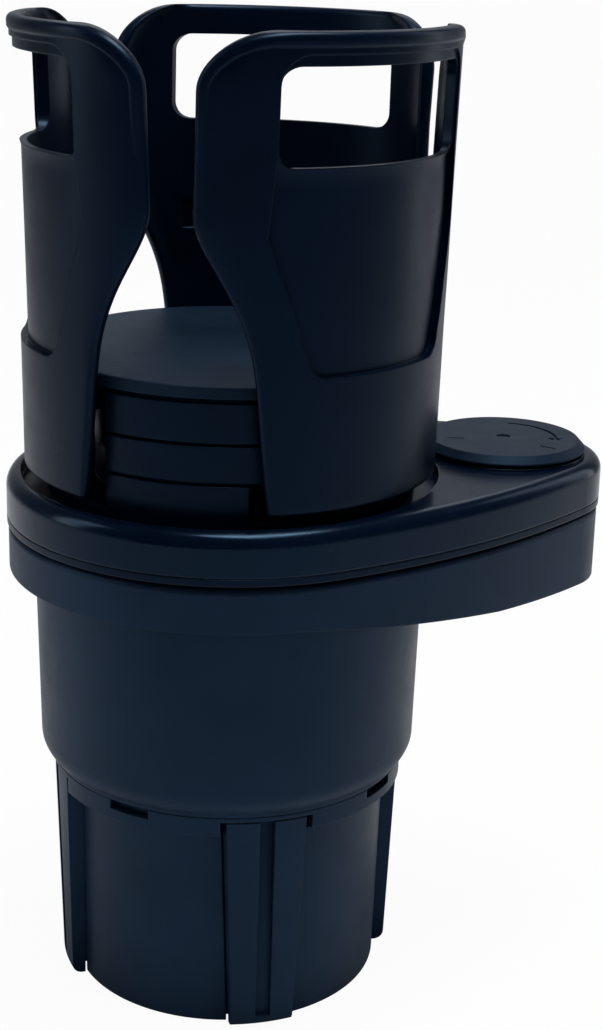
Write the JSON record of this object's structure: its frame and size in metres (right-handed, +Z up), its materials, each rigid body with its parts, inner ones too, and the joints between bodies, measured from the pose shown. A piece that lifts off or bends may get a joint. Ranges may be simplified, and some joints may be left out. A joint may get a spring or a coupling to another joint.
{
  "type": "car cup holder",
  "caption": "Two-place car cup holder: an expanding plug carries a lower cup, and a teardrop deck swings over it with windowed arms that slide round a stepped drum.",
  "frame": {"origin": "on the lower cup's axis at the foot of the plug", "axes": "+Z up along the cup's axis, +X towards the pivot at the deck's narrow end"},
  "size_m": [0.1328, 0.0956, 0.2091],
  "materials": {
    "satin_black": "satin black moulded plastic",
    "matt_black": "matt black moulded plastic",
    "nylon": "plain dark nylon",
    "steel": "zinc-plated steel"
  },
  "bodies": {
    "base": {"base_sleeve": "satin_black", "bottom_cover": "matt_black", "cover_screws": "steel", "guide_plate": "matt_black", "lower_cup": "satin_black", "lower_housing": "satin_black", "housing_top": "satin_black", "housing_screws": "steel", "pivot_pin": "steel", "pivot_washer": "nylon", "pivot_screw": "steel"},
    "dial": {"foot_cam": "satin_black", "foot_dial": "matt_black", "dial_screw": "steel"},
    "foot_1": {"foot_1": "satin_black"},
    "foot_2": {"foot_2": "satin_black"},
    "foot_3": {"foot_3": "satin_black"},
    "foot_4": {"foot_4": "satin_black"},
    "deck": {"upper_deck": "satin_black", "pivot_ring": "satin_black", "deck_cover": "satin_black", "deck_screws": "steel", "drum_base": "satin_black", "drum_middle": "satin_black", "drum_upper": "satin_black", "drum_screws": "steel"},
    "knob": {"pivot_knob": "matt_black"},
    "floor": {"arm_cam": "satin_black", "cam_screw": "steel", "floor_disc": "matt_black"},
    "arm_1": {"arm_1": "satin_black"},
    "arm_2": {"arm_2": "satin_black"},
    "arm_3": {"arm_3": "satin_black"}
  },
  "joints": [
    {"name": "foot_dial_turn", "type": "hinge", "parent": "base", "child": "dial", "pos_m": [0, 0, 0.052], "axis": [0, 0, 1], "range_deg": [-35, 48]},
    {"name": "foot_1_slide", "type": "slide", "parent": "base", "child": "foot_1", "axis": [-0.0419, -0.9991, 0], "range_m": [-0.0032, 0.0044]},
    {"name": "foot_2_slide", "type": "slide", "parent": "base", "child": "foot_2", "axis": [0.9991, -0.0419, 0], "range_m": [-0.0032, 0.0044]},
    {"name": "foot_3_slide", "type": "slide", "parent": "base", "child": "foot_3", "axis": [0.0419, 0.9991, 0], "range_m": [-0.0032, 0.0044]},
    {"name": "foot_4_slide", "type": "slide", "parent": "base", "child": "foot_4", "axis": [-0.9991, 0.0419, 0], "range_m": [-0.0032, 0.0044]},
    {"name": "deck_swing", "type": "hinge", "parent": "base", "child": "deck", "pos_m": [0.063, 0, 0.105], "axis": [0, 0, 1], "range_deg": [-180, 180]},
    {"name": "knob_turn", "type": "hinge", "parent": "deck", "child": "knob", "pos_m": [0.063, 0, 0.113], "axis": [0, 0, 1], "range_deg": [0, 60]},
    {"name": "floor_turn", "type": "hinge", "parent": "deck", "child": "floor", "pos_m": [0, 0, 0.13], "axis": [0, 0, 1], "range_deg": [0, 80]},
    {"name": "arm_1_slide", "type": "slide", "parent": "deck", "child": "arm_1", "axis": [-1, 0, 0], "range_m": [0, 0.007]},
    {"name": "arm_2_slide", "type": "slide", "parent": "deck", "child": "arm_2", "axis": [0.5, -0.866, 0], "range_m": [0, 0.007]},
    {"name": "arm_3_slide", "type": "slide", "parent": "deck", "child": "arm_3", "axis": [0.5, 0.866, 0], "range_m": [0, 0.007]}
  ],
  "couplings": [
    {"joint": "foot_1_slide", "follows": "foot_dial_turn", "m_per_rad": 0.0052},
    {"joint": "foot_2_slide", "follows": "foot_dial_turn", "m_per_rad": 0.0052},
    {"joint": "foot_3_slide", "follows": "foot_dial_turn", "m_per_rad": 0.0052},
    {"joint": "foot_4_slide", "follows": "foot_dial_turn", "m_per_rad": 0.0052},
    {"joint": "arm_1_slide", "follows": "floor_turn", "m_per_rad": 0.005},
    {"joint": "arm_2_slide", "follows": "floor_turn", "m_per_rad": 0.005},
    {"joint": "arm_3_slide", "follows": "floor_turn", "m_per_rad": 0.005}
  ]
}
